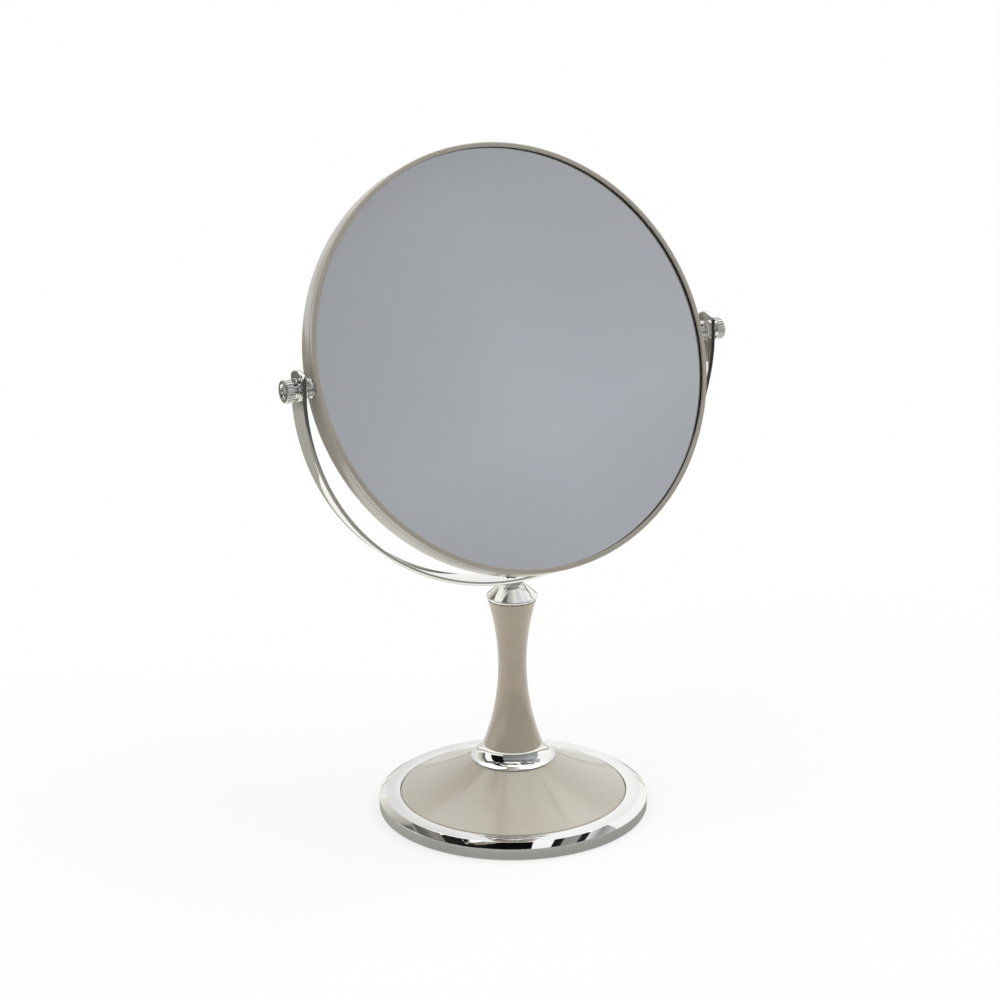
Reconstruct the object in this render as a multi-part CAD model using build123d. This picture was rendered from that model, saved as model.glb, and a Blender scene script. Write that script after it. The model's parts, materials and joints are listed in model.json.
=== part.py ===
from build123d import *
from math import sqrt
import os

# Round two-sided vanity mirror on a turned pedestal. Millimetres.
# The origin is the centre of the base where it meets the table, +Z is up, +X runs
# along the tilting axis through both thumb screws, and the plain mirror faces -Y.

# Fits
rest_tilt = 23.4                # degrees that the head leans back as it stands
play = 0.05                     # radial play of a screw or spigot in its hole
seat_gap = 0.2                  # loose gap where a piece only drops into place

# Mirror head: local Z is the axis of the glass, plain side positive, and zero is the
# tilting axis, from which the glasses and bezels are stacked to both sides
head_radius = 104.0
seam_height = 3.4               # where the two bezels meet, above the tilting axis
bezel_wall = 1.3
lip_width = 2.4                 # ring of bezel that shows round the glass
lip_thickness = 1.3
bezel_round = 0.9               # rounded outer edge of each bezel
lip_break = 0.3                 # broken inner edge of each lip
seam_chamfer = 0.3              # the V groove along the seam is twice this wide
plain_glass_thickness = 2.0
magnifying_glass_thickness = 1.8
magnifying_rise = 5.27          # hollow of the magnifying glass at its centre, about 2x
carrier_width = 9.5             # radial width of the ring between the glasses
carrier_wall = 0.18             # of the carrier ring over its threaded inserts
gasket_thickness = 0.9
foam_pad_radius = 40.0
foam_ring_width = 4.0
cushion_gap = 0.1               # foam stops just short of what it cushions

# Pivot hardware, listed outwards from the head along X
insert_length = 6.5
insert_wall = 0.6
insert_depth = 1.5              # from the rim of the head to the insert
screw_radius = 2.0              # thumb screw shank
screw_end_gap = 1.0             # from the tip of the shank to the insert's inner end
hole_clearance = 0.4            # a clearance hole is this much larger in radius
bush_length = 4.2
bush_radius = 4.7
bush_waist_radius = 4.0
friction_washer_thickness = 0.8
friction_washer_radius = 5.0
outer_washer_thickness = 1.0
outer_washer_radius = 5.5
knob_neck_length = 1.8
knob_neck_radius = 3.8
knob_length = 4.1
knob_radius = 5.6
knob_edge = 0.5                 # chamfer on both rims of the knob
knob_rim_width = 1.9            # from the knurl in to the dish
knob_dish_depth = 0.8
knob_groove_count = 24
knob_groove_radius = 0.38

# Yoke: a flat strap bent into a U
strap_width = 13.0
strap_thickness = 2.2
strap_edge = 0.35               # rounding of the long edges
ear_flat = 6.5                  # straight part of each arm below the axis
ear_radius = 9.2                # rounded top of each ear about the axis
yoke_screw_radius = 2.5
yoke_screw_head_radius = 4.5
yoke_screw_head_height = 2.2
yoke_screw_length = 9.0
yoke_screw_slot_width = 1.1
yoke_screw_slot_depth = 1.0

# Pedestal, listed upwards from the table
pad_height = 1.4                # soft ring under the base
pad_width = 26.0
pad_inset = 5.0                 # from the base's wall in to the pad
rim_lift = 0.4                  # the metal rim stays this far above the table
base_radius = 67.0
base_wall = 1.2
base_slope_width = 3.5          # the slope from the upright wall in to the flat band
base_slope_height = 2.5
base_band_width = 7.1
base_band_height = 8.4
ledge_width = 4.6               # inner ledge that carries the cover
bottom_plate_thickness = 1.2
cover_wall = 1.8
cover_edge = 0.3                # broken lower edge of the cover
cover_rise = 19.8               # from the flat band to the top of the cover
cover_top_radius = 17.2
cover_hollow = 1.0              # how far the flank dips below a straight cone
weight_rim_width = 14.0         # thin rim of the weight that the ledge holds down
weight_rim_overlap = 3.6        # how far that rim passes the cover's edge
weight_rise = 1.0               # from the flat band to the top of the weight
weight_hub_radius = 11.0
base_screw_count = 3
base_screw_circle = 24.0
base_screw_radius = 1.6
base_screw_length = 5.0
base_screw_head_radius = 3.2
base_screw_head_height = 0.9
collar_radius = 20.9
collar_edge = 0.6               # upright edge at the foot of the collar
collar_rise = 5.2               # from the top of the cover to the top of the collar
collar_top_radius = 15.1
collar_hollow = 1.5
column_height = 76.2
column_bottom_radius = 14.7
column_waist_radius = 7.05
column_waist_rise = 41.6        # from the foot of the column to its waist
column_top_radius = 12.1
column_bore_radius = 4.2
rod_radius = 3.0
rod_foot_gap = 0.4              # from the bottom plate to the rod
rod_tip_gap = 0.1               # from the rod to the yoke screw's hole
rod_nut_flats = 10.0
rod_nut_height = 5.0
rod_nut_gap = 0.5               # from the end of the rod to its nut
rod_washer_radius = 8.0
rod_washer_thickness = 1.2
rod_recess_width = 1.5          # room round the washer in the weight
neck_height = 10.0
neck_radius = 12.5
neck_band = 1.7                 # upright band at the foot of the neck
neck_shoulder_radius = 7.2
neck_shoulder_drop = 3.3        # from the top of the neck to its shoulder
neck_top_radius = 5.2
neck_spigot_radius = 6.2
neck_spigot_length = 8.0
neck_screw_spare = 0.6          # the screw's hole is this much deeper than the screw

# Mirror head, from the tilting axis to both faces
window_radius = head_radius - lip_width
bezel_bore = head_radius - bezel_wall
glass_radius = bezel_bore - seat_gap
foam_ring_radius = glass_radius - seat_gap
insert_radius = screw_radius + insert_wall
carrier_inner_radius = glass_radius - carrier_width
carrier_top = insert_radius + play + carrier_wall
plain_glass_bottom = carrier_top + gasket_thickness
plain_glass_top = plain_glass_bottom + plain_glass_thickness
front_face = plain_glass_top + lip_thickness
magnifying_radius = (glass_radius**2 + magnifying_rise**2) / (2 * magnifying_rise)


def magnifying_dome(radius):
    """How far the magnifying glass has risen from its rim at this radius."""
    return sqrt(magnifying_radius**2 - radius**2) - sqrt(magnifying_radius**2 - glass_radius**2)


magnifying_seat = -carrier_top - cushion_gap
magnifying_rim = magnifying_seat - magnifying_dome(carrier_inner_radius) - magnifying_glass_thickness
rear_face = magnifying_rim - lip_thickness

# Pivot hardware and yoke, from the head outwards
insert_end = head_radius - insert_depth
insert_start = insert_end - insert_length
friction_washer_start = head_radius + bush_length
ear_inner = friction_washer_start + friction_washer_thickness
ear_outer = ear_inner + strap_thickness
knob_neck_start = ear_outer + outer_washer_thickness
knob_start = knob_neck_start + knob_neck_length
knob_end = knob_start + knob_length
yoke_inner_radius = sqrt(ear_inner**2 + ear_flat**2)
yoke_outer_radius = yoke_inner_radius + strap_thickness

# Pedestal, from the wall of the base inwards and from the table upwards
base_band_radius = base_radius - base_slope_width
cover_radius = base_band_radius - base_band_width
cover_foot_radius = cover_radius - cover_wall
weight_rim_radius = cover_radius + weight_rim_overlap
weight_radius = weight_rim_radius - weight_rim_width
weight_recess_radius = rod_washer_radius + rod_recess_width
pad_outer_radius = base_radius - pad_inset
pad_inner_radius = pad_outer_radius - pad_width
base_shoulder_height = base_band_height - base_slope_height
plate_top_height = pad_height + bottom_plate_thickness
ledge_height = base_band_height - cover_wall + seat_gap
ledge_underside = ledge_height - base_wall
weight_height = base_band_height + weight_rise
rod_end_height = plate_top_height + rod_foot_gap
weight_recess_height = rod_end_height + rod_nut_gap + rod_nut_height + rod_washer_thickness
cover_top_height = base_band_height + cover_rise
collar_top_height = cover_top_height + collar_rise
column_waist_height = collar_top_height + column_waist_rise
column_top_height = collar_top_height + column_height
neck_top_height = column_top_height + neck_height
neck_screw_depth = yoke_screw_length - strap_thickness + neck_screw_spare
rod_top_height = neck_top_height - neck_screw_depth - rod_tip_gap
yoke_floor_height = neck_top_height + strap_thickness
pivot_height = yoke_floor_height + yoke_inner_radius

head_place = Pos(0, 0, pivot_height) * Rot(90 - rest_tilt, 0, 0)


def side_place(side):
    """Local Z points outwards along the tilting axis: side is +1 right, -1 left."""
    return Pos(0, 0, pivot_height) * Rot(0, 90 * side, 0)


def turned(*path):
    """A solid of revolution about Z from (radius, height) corners."""
    outline = Polyline(*[(radius, 0, height) for radius, height in path], close=True)
    return revolve(make_face(outline), Axis.Z)


def disc(radius, low, high):
    return Pos(0, 0, (low + high) / 2) * Cylinder(radius, high - low)


def tube(outer, inner, low, high):
    return disc(outer, low, high) - disc(inner, low, high)


def dipped(start, end, dip):
    """The middle of a hollow flank: the chord's middle moved square to it by dip."""
    run = end[0] - start[0]
    rise = end[1] - start[1]
    length = sqrt(run**2 + rise**2)
    middle = ((start[0] + end[0]) / 2, (start[1] + end[1]) / 2)
    return (middle[0] + dip * rise / length, middle[1] - dip * run / length)


def hollow_flank(start, end, dip):
    """An arc from start to end that is bowed to the right of its chord by dip."""
    middle = dipped(start, end, dip)
    return ThreePointArc(*[(radius, 0, height) for radius, height in (start, middle, end)])


def turned_with_flank(flank, *path):
    """A solid of revolution whose outline is the flank and then the given corners."""
    corners = [flank @ 1] + [(radius, 0, height) for radius, height in path] + [flank @ 0]
    return revolve(make_face([flank, Polyline(*corners)]), Axis.Z)


# Mirror head ---------------------------------------------------------------------

def bezel(seam, face):
    """An L-shaped ring from the seam to the face; face is its outermost height."""
    way = 1 if face > seam else -1
    lip_back = face - way * lip_thickness
    return turned(
        (bezel_bore, seam),
        (head_radius - seam_chamfer, seam),
        (head_radius, seam + way * seam_chamfer),
        (head_radius, face - way * bezel_round),
        (head_radius - bezel_round * 0.3, face - way * bezel_round * 0.3),
        (head_radius - bezel_round, face),
        (window_radius + lip_break, face),
        (window_radius, face - way * lip_break),
        (window_radius, lip_back),
        (bezel_bore, lip_back),
    )


def pivot_cut(radius):
    """A hole along the tilting axis, in the head's own frame."""
    return Rot(0, 90, 0) * Cylinder(radius, 2 * head_radius + lip_width)


def front_bezel():
    return head_place * bezel(seam_height, front_face)


def rear_bezel():
    ring = bezel(seam_height, rear_face)
    return head_place * (ring - pivot_cut(screw_radius + hole_clearance))


def front_glass():
    return head_place * disc(glass_radius, plain_glass_bottom, plain_glass_top)


def magnifying_back(radius):
    """Height of the hidden, rounded side of the magnifying glass at this radius."""
    return magnifying_rim + magnifying_glass_thickness + magnifying_dome(radius)


def magnifying_surface(offset):
    """A ball that bounds the magnifying glass, raised by offset."""
    crown = magnifying_rim + magnifying_rise + offset
    return Pos(0, 0, crown - magnifying_radius) * Sphere(magnifying_radius)


def rear_glass():
    blank = disc(glass_radius, magnifying_rim, seam_height)
    return head_place * (blank & magnifying_surface(magnifying_glass_thickness) - magnifying_surface(0))


def carrier_ring():
    ring = tube(glass_radius, carrier_inner_radius, -carrier_top, carrier_top)
    hole = pivot_cut(screw_radius + hole_clearance)
    pockets = [side_pocket(side) for side in (-1, 1)]
    return head_place * (ring - hole - pockets)


def side_pocket(side):
    """The hole that an insert is pressed into, in the head's own frame."""
    return Rot(0, 90 * side, 0) * disc(insert_radius + play, insert_start, head_radius)


def front_gasket():
    inner = foam_ring_radius - foam_ring_width
    return head_place * tube(foam_ring_radius, inner, carrier_top, plain_glass_bottom)


def rear_gasket():
    inner = foam_ring_radius - foam_ring_width
    return head_place * tube(foam_ring_radius, inner, magnifying_back(inner) + cushion_gap, -carrier_top)


def foam_pad():
    return head_place * disc(foam_pad_radius, magnifying_back(0) + cushion_gap, plain_glass_bottom)


def pivot_insert(side):
    return side_place(side) * tube(insert_radius, screw_radius + play, insert_start, insert_end)


def spacer_bush(side):
    bore = screw_radius + hole_clearance
    start = head_radius
    end = friction_washer_start
    waist = bush_radius - bush_waist_radius
    return side_place(side) * turned(
        (bore, start),
        (bush_radius, start),
        (bush_radius, start + waist),
        (bush_waist_radius, start + 2 * waist),
        (bush_waist_radius, end - 2 * waist),
        (bush_radius, end - waist),
        (bush_radius, end),
        (bore, end),
    )


def friction_washer(side):
    bore = screw_radius + hole_clearance
    return side_place(side) * tube(friction_washer_radius, bore, friction_washer_start, ear_inner)


# Thumb screws --------------------------------------------------------------------

def outer_washer(side):
    bore = screw_radius + hole_clearance
    return side_place(side) * tube(outer_washer_radius, bore, ear_outer, knob_neck_start)


def thumb_screw(side):
    tip = insert_start + screw_end_gap
    dish_radius = knob_radius - knob_rim_width
    body = turned(
        (0, tip),
        (screw_radius - knob_edge, tip),
        (screw_radius, tip + knob_edge),
        (screw_radius, knob_neck_start),
        (knob_neck_radius, knob_neck_start),
        (knob_neck_radius, knob_start),
        (knob_radius - knob_edge, knob_start),
        (knob_radius, knob_start + knob_edge),
        (knob_radius, knob_end - knob_edge),
        (knob_radius - knob_edge, knob_end),
        (dish_radius, knob_end),
        (dish_radius - knob_edge, knob_end - knob_dish_depth),
        (0, knob_end - knob_dish_depth),
    )
    groove = Pos(0, 0, (knob_start + knob_end) / 2) * Cylinder(knob_groove_radius, 2 * knob_length)
    grooves = [PolarLocations(knob_radius, knob_groove_count).locations[i] * groove
               for i in range(knob_groove_count)]
    return side_place(side) * (body - grooves)


# Yoke ----------------------------------------------------------------------------

def strap_outline():
    """The U seen from the front, about the tilting axis."""
    outer_flat = -sqrt(yoke_outer_radius**2 - ear_outer**2)
    inner_arc = ThreePointArc((-ear_inner, -ear_flat), (0, -yoke_inner_radius), (ear_inner, -ear_flat))
    outer_arc = ThreePointArc((-ear_outer, outer_flat), (0, -yoke_outer_radius), (ear_outer, outer_flat))
    right_ear = Polyline(inner_arc @ 1, (ear_inner, ear_radius), (ear_outer, ear_radius), outer_arc @ 1)
    left_ear = Polyline(inner_arc @ 0, (-ear_inner, ear_radius), (-ear_outer, ear_radius), outer_arc @ 0)
    return make_face([inner_arc, right_ear, outer_arc, left_ear])


def yoke():
    strap = extrude(Plane.XZ * strap_outline(), strap_width / 2, both=True)
    lower = Pos(0, 0, -yoke_outer_radius) * Box(3 * yoke_outer_radius, strap_width, 2 * yoke_outer_radius)
    ends = Rot(0, 90, 0) * Cylinder(ear_radius, 3 * yoke_outer_radius)
    strap = strap & (lower + ends)
    long_edges = [edge for edge in strap.edges() if abs(abs(edge.center().Y) - strap_width / 2) < play]
    strap = fillet(long_edges, strap_edge)
    pivot_holes = Rot(0, 90, 0) * Cylinder(screw_radius + hole_clearance, 3 * yoke_outer_radius)
    foot_hole = Pos(0, 0, -yoke_outer_radius) * Cylinder(yoke_screw_radius + play, 4 * strap_thickness)
    spot_face = disc(yoke_screw_head_radius + hole_clearance, -yoke_inner_radius, 0)
    return Pos(0, 0, pivot_height) * (strap - pivot_holes - foot_hole - spot_face)


def yoke_screw():
    top = yoke_floor_height + yoke_screw_head_height
    edge = yoke_screw_head_height / 3
    screw = turned(
        (0, yoke_floor_height - yoke_screw_length),
        (yoke_screw_radius, yoke_floor_height - yoke_screw_length),
        (yoke_screw_radius, yoke_floor_height),
        (yoke_screw_head_radius, yoke_floor_height),
        (yoke_screw_head_radius, top - 2 * edge),
        (yoke_screw_head_radius - edge, top - edge / 2),
        (yoke_screw_head_radius - 3 * edge, top),
        (0, top),
    )
    slot = Box(3 * yoke_screw_head_radius, yoke_screw_slot_width, 2 * yoke_screw_slot_depth)
    return screw - Pos(0, 0, top) * slot


# Pedestal ------------------------------------------------------------------------

def neck_ferrule():
    top = neck_top_height
    foot = column_top_height
    shoulder = top - neck_shoulder_drop
    body = turned(
        (0, foot - neck_spigot_length),
        (neck_spigot_radius, foot - neck_spigot_length),
        (neck_spigot_radius, foot),
        (column_top_radius, foot),
        (neck_radius, foot + neck_band / 3),
        (neck_radius, foot + neck_band),
        (neck_shoulder_radius, shoulder),
        (neck_top_radius, shoulder + neck_shoulder_drop / 3),
        (neck_top_radius, top),
        (0, top),
    )
    rod_hole = disc(rod_radius + play, foot - neck_spigot_length, rod_top_height + play)
    screw_hole = disc(yoke_screw_radius + play, top - neck_screw_depth, top)
    return body - rod_hole - screw_hole


def column_flank(bottom, top):
    """The waisted outline as one arc through the foot, the waist and the top."""
    return ThreePointArc((bottom, 0, collar_top_height), (column_waist_radius, 0, column_waist_height),
                         (top, 0, column_top_height))


def column():
    flank = column_flank(column_bottom_radius, column_top_radius)
    spigot_bore = neck_spigot_radius + play
    body = turned_with_flank(flank, (column_bore_radius, column_top_height),
                             (column_bore_radius, collar_top_height))
    return body - disc(spigot_bore, column_top_height - neck_spigot_length - play, column_top_height)


def lower_collar():
    foot_height = cover_height(collar_radius) + play
    flank = hollow_flank((collar_radius, foot_height + collar_edge),
                         (collar_top_radius, collar_top_height), -collar_hollow)
    return turned_with_flank(flank, (column_bore_radius, collar_top_height),
                             (column_bore_radius, cover_top_height),
                             (cover_top_radius, cover_top_height), (collar_radius, foot_height))


def cover_height(radius):
    """Height of the cover's straight cone, without its slight hollow, at a radius."""
    share = (cover_radius - radius) / (cover_radius - cover_top_radius)
    return base_band_height + share * (cover_top_height - base_band_height)


def base_cover():
    foot = base_band_height
    outer = hollow_flank((cover_radius, foot), (cover_top_radius, cover_top_height), -cover_hollow)
    solid = turned_with_flank(outer, (0, cover_top_height), (0, ledge_height),
                              (cover_radius - cover_edge, ledge_height),
                              (cover_radius, ledge_height + cover_edge))
    inner_top = cover_top_height - cover_wall
    inner = hollow_flank((cover_foot_radius, ledge_height), (cover_top_radius - cover_wall, inner_top),
                         -cover_hollow)
    hollow = turned_with_flank(inner, (0, inner_top), (0, ledge_height))
    return solid - hollow - disc(rod_radius + seat_gap, 0, cover_top_height)


def base_ring():
    recess = cover_radius + seat_gap
    ledge = recess - ledge_width
    inner_wall = base_radius - base_wall
    return turned(
        (base_radius, rim_lift),
        (base_radius, base_shoulder_height),
        (base_band_radius, base_band_height - seat_gap),
        (recess, base_band_height),
        (recess, ledge_height),
        (ledge, ledge_height),
        (ledge, ledge_underside),
        (recess + base_wall, ledge_underside),
        (recess + base_wall, base_band_height - base_wall),
        (base_band_radius - base_wall / 3, base_band_height - seat_gap - base_wall),
        (inner_wall, base_shoulder_height - base_wall / 2),
        (inner_wall, rim_lift),
    )


def base_weight():
    hub_top = cover_top_height - cover_wall
    body = turned(
        (0, plate_top_height),
        (weight_rim_radius, plate_top_height),
        (weight_rim_radius, ledge_underside),
        (weight_radius + base_wall, ledge_underside),
        (weight_radius, weight_height),
        (weight_hub_radius + base_wall, weight_height),
        (weight_hub_radius, weight_height + base_wall),
        (weight_hub_radius, hub_top),
        (0, hub_top),
    )
    recess = disc(weight_recess_radius, plate_top_height, weight_recess_height)
    screw_hole = disc(base_screw_radius + play, plate_top_height, pad_height + base_screw_length + seat_gap)
    holes = [place * screw_hole for place in PolarLocations(base_screw_circle, base_screw_count)]
    return body - disc(rod_radius + seat_gap, 0, hub_top) - recess - holes


def base_bottom_plate():
    plate = disc(base_radius - base_wall - seat_gap, pad_height, plate_top_height)
    hole = disc(base_screw_radius + play, 0, plate_top_height)
    return plate - [place * hole for place in PolarLocations(base_screw_circle, base_screw_count)]


def base_pad():
    return tube(pad_outer_radius, pad_inner_radius, 0, pad_height)


def base_screws():
    head = turned(
        (0, pad_height - base_screw_head_height),
        (base_screw_head_radius - base_screw_head_height / 2, pad_height - base_screw_head_height),
        (base_screw_head_radius, pad_height - base_screw_head_height / 3),
        (base_screw_head_radius, pad_height),
        (base_screw_radius, pad_height),
        (base_screw_radius, pad_height + base_screw_length),
        (0, pad_height + base_screw_length),
    )
    cross_arm = 1.2 * base_screw_head_radius
    cross = Box(cross_arm, base_screw_radius / 3, base_screw_head_height)
    cross += Box(base_screw_radius / 3, cross_arm, base_screw_head_height)
    screw = head - Pos(0, 0, pad_height - base_screw_head_height) * cross
    return Compound([place * screw for place in PolarLocations(base_screw_circle, base_screw_count)])


def tie_rod():
    return disc(rod_radius, rod_end_height, rod_top_height)


def tie_rod_washer():
    low = weight_recess_height - rod_washer_thickness
    return tube(rod_washer_radius, rod_radius + seat_gap, low, weight_recess_height)


def tie_rod_nut():
    top = weight_recess_height - rod_washer_thickness
    hexagon = RegularPolygon(rod_nut_flats / 2, 6, major_radius=False)
    nut = extrude(Pos(0, 0, top - rod_nut_height) * hexagon, rod_nut_height)
    return nut - disc(rod_radius + play, 0, top)


nodes = {
    "base_ring": base_ring(),
    "base_cover": base_cover(),
    "base_weight": base_weight(),
    "base_bottom_plate": base_bottom_plate(),
    "base_pad": base_pad(),
    "base_screws": base_screws(),
    "lower_collar": lower_collar(),
    "column": column(),
    "tie_rod": tie_rod(),
    "tie_rod_washer": tie_rod_washer(),
    "tie_rod_nut": tie_rod_nut(),
    "neck_ferrule": neck_ferrule(),
    "yoke": yoke(),
    "yoke_screw": yoke_screw(),
    "front_bezel": front_bezel(),
    "rear_bezel": rear_bezel(),
    "carrier_ring": carrier_ring(),
    "front_glass": front_glass(),
    "rear_glass": rear_glass(),
    "front_gasket": front_gasket(),
    "rear_gasket": rear_gasket(),
    "foam_pad": foam_pad(),
}
for name, side in (("left", -1), ("right", 1)):
    nodes[name + "_pivot_insert"] = pivot_insert(side)
    nodes[name + "_spacer_bush"] = spacer_bush(side)
    nodes[name + "_friction_washer"] = friction_washer(side)
    nodes[name + "_outer_washer"] = outer_washer(side)
    nodes[name + "_thumb_screw"] = thumb_screw(side)

os.makedirs("parts", exist_ok=True)
for name, shape in nodes.items():
    export_step(shape, "parts/" + name + ".step")
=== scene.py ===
import json
import math

import bmesh
import bpy
from mathutils import Matrix, Vector


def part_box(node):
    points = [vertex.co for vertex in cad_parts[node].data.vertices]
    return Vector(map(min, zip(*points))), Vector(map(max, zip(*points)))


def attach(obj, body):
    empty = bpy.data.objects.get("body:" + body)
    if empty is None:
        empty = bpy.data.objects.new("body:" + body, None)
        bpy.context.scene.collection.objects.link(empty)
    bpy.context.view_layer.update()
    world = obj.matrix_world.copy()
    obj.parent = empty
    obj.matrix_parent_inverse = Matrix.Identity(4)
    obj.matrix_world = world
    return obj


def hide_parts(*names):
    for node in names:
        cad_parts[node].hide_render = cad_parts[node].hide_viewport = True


# Round two-sided vanity mirror on a turned pedestal. Metres, in the frame's own axes:
# +Z up, +X along the tilting axis, the plain mirror faces -Y and leans back.

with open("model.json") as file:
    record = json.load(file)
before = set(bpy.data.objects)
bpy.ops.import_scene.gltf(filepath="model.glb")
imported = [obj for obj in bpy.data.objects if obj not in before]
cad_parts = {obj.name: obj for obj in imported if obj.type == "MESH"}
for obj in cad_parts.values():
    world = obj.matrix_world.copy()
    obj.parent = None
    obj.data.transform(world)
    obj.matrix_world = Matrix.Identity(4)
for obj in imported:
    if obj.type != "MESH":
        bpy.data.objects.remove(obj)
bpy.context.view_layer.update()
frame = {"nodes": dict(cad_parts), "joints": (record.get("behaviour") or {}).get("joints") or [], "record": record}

mm = 0.001


def reach(node, axis):
    """How far a node reaches along an axis, on the plus side."""
    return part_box(node)[1][axis]


def foot(node):
    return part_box(node)[0].z


def top(node):
    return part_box(node)[1].z


def half_height(node):
    """The outer radius of a round piece that lies along the tilting axis."""
    return (top(node) - foot(node)) / 2


def axis_span(node):
    """Where a piece of the pivot starts and ends, measured outwards along the tilting axis."""
    return sorted(abs(corner.x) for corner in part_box(node))


# Driving sizes -------------------------------------------------------------------

# Mirror head
axis_height = frame["joints"][0]["pos_m"][2]
rest_tilt = math.radians(23.4)
head_radius = reach("front_bezel", 0)
glass_radius = reach("front_glass", 0)
lip_width = 2.4 * mm
window_radius = head_radius - lip_width
lip_thickness = 1.3 * mm
bezel_wall = 1.3 * mm
seam_height = 3.4 * mm
seam_chamfer = 0.3 * mm
front_face = 7.03 * mm
rear_face = -6.96 * mm
plain_glass_thickness = 2.0 * mm
magnifying_thickness = 1.8 * mm
magnifying_rise = 5.27 * mm
glass_arris = 0.25 * mm
silver_depth = 0.9 * mm         # how deep below the glass's face its silver seems to lie
lip_shade_width = 0.1 * mm          # width of the dark line painted as shade where the glass meets the frame's lip

# Yoke
ear_inner = reach("right_friction_washer", 0)
ear_outer = reach("yoke", 0)
ear_radius = top("yoke") - axis_height
ear_flat = 6.5 * mm
strap_thickness = ear_outer - ear_inner
strap_width = 2 * reach("yoke", 1)
strap_edge = 0.35 * mm
yoke_inner_radius = axis_height - foot("yoke") - strap_thickness

# Pivot hardware
screw_radius = 2.0 * mm
hole_clearance = 0.4 * mm
small_edge = 0.15 * mm          # broken edges of the washers and bushes
bush_waist = 0.7 * mm
knob_edge = 0.5 * mm
knob_length = 4.1 * mm
knob_neck_length = 1.8 * mm
knob_neck_radius = 3.8 * mm
knob_rim_width = 1.9 * mm
knob_dish_depth = 0.8 * mm
knob_pip_radius = 0.9 * mm      # the turning centre left in the dished face
knob_groove_count = 24
knob_groove_depth = 0.38 * mm
knob_groove_power = 1.6         # over 1 makes the crests wider than the grooves

# Pedestal
base_radius = reach("base_ring", 0)
base_wall = 1.2 * mm
base_slope_width = 3.5 * mm
base_slope_height = 2.5 * mm
band_height = top("base_ring")
band_fall = 0.2 * mm            # the band falls this much towards its outer edge
ledge_width = 4.6 * mm
recess_gap = 0.2 * mm
cover_radius = reach("base_cover", 0)
cover_wall = 1.8 * mm
cover_edge = 0.45 * mm
cover_top_radius = 17.2 * mm
cover_hollow = 1.0 * mm
collar_radius = reach("lower_collar", 0)
collar_edge = 0.6 * mm
collar_top_radius = 15.1 * mm
collar_top_land = 0.3 * mm      # flat top of the collar outside the column
collar_hollow = 1.5 * mm
column_bottom_radius = reach("column", 0)
column_waist_radius = 7.05 * mm
column_waist_rise = 41.6 * mm
column_top_radius = 12.1 * mm
column_bore_radius = 4.2 * mm
rod_hole_radius = 3.2 * mm
neck_radius = reach("neck_ferrule", 0)
neck_band = 1.7 * mm
neck_seam = 0.6 * mm            # the shadow gap under the neck's foot
neck_shoulder_radius = 7.2 * mm
neck_shoulder_drop = 3.3 * mm
neck_top_radius = 5.2 * mm

# Fillets
ring_foot_fillet = 0.25 * mm
ring_shoulder_fillet = 0.35 * mm
ring_crest_fillet = 0.5 * mm
ring_recess_fillet = 0.25 * mm
neck_foot_fillet = 0.08 * mm
neck_band_fillet = 0.3 * mm
neck_cone_fillet = 0.45 * mm
neck_shoulder_fillet = 0.8 * mm
neck_waist_fillet = 0.4 * mm
neck_top_fillet = 0.1 * mm
bezel_fillet = 1.25 * mm
bezel_seam_fillet = 0.08 * mm
bezel_groove_fillet = 0.2 * mm
lip_fillet = 0.3 * mm
lip_back_fillet = 0.1 * mm
bush_fillet = 0.3 * mm
screw_tip_fillet = 0.5 * mm
knob_rim_fillet = 0.12 * mm
knob_dish_fillet = 0.2 * mm
knob_floor_fillet = 0.25 * mm
knob_pip_fillet = 0.1 * mm

# Fineness of the meshes
fillet_steps = 5
small_fillet_steps = 4
washer_fillet_steps = 3
turn_steps = 256
large_turn_steps = 384
frame_turn_steps = 512
bush_turn_steps = 128
washer_turn_steps = 96
cover_steps = 40
collar_steps = 24
column_steps = 72
glass_steps = 64
ear_steps = 14
ear_flat_steps = 8
strap_steps = 180
strap_edge_steps = 4
crease_angle = math.radians(32)
weld_distance = 1e-7
sliver_length = 1e-8
on_axis = 1e-9


# Mesh helpers --------------------------------------------------------------------

def linked_object(name, data):
    """A new object in the scene that shows the mesh, lamp or camera."""
    thing = bpy.data.objects.new(name, data)
    bpy.context.scene.collection.objects.link(thing)
    return thing


def mesh_object(name, builder):
    """A new object from a bmesh, which is used up."""
    mesh = bpy.data.meshes.new(name)
    builder.to_mesh(mesh)
    builder.free()
    return linked_object(name, mesh)


def finished_object(name, builder):
    """Turns a bmesh into an object, smooth except along its creases."""
    bmesh.ops.remove_doubles(builder, verts=builder.verts, dist=weld_distance)
    bmesh.ops.recalc_face_normals(builder, faces=builder.faces)
    for face in builder.faces:
        face.smooth = True
    for edge in builder.edges:
        if len(edge.link_faces) == 2 and edge.calc_face_angle() > crease_angle:
            edge.smooth = False
    return mesh_object(name, builder)


def rounded(corners, steps=fillet_steps):
    """(radius, height) points from (radius, height, fillet) corners of a closed outline.
    A corner without a fillet stays sharp."""
    points = []
    for i, corner in enumerate(corners):
        here = Vector(corner[:2])
        if len(corner) == 2:
            points.append(here)
            continue
        fillet = corner[2]
        back = (Vector(corners[i - 1][:2]) - here).normalized()
        ahead = (Vector(corners[(i + 1) % len(corners)][:2]) - here).normalized()
        half = back.angle(ahead) / 2
        middle = here + (back + ahead).normalized() * fillet / math.sin(half)
        start = here + back * fillet / math.tan(half) - middle
        turn = start.angle_signed(here + ahead * fillet / math.tan(half) - middle)
        for step in range(steps + 1):
            points.append(middle + Matrix.Rotation(-turn * step / steps, 2) @ start)
    return points


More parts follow.
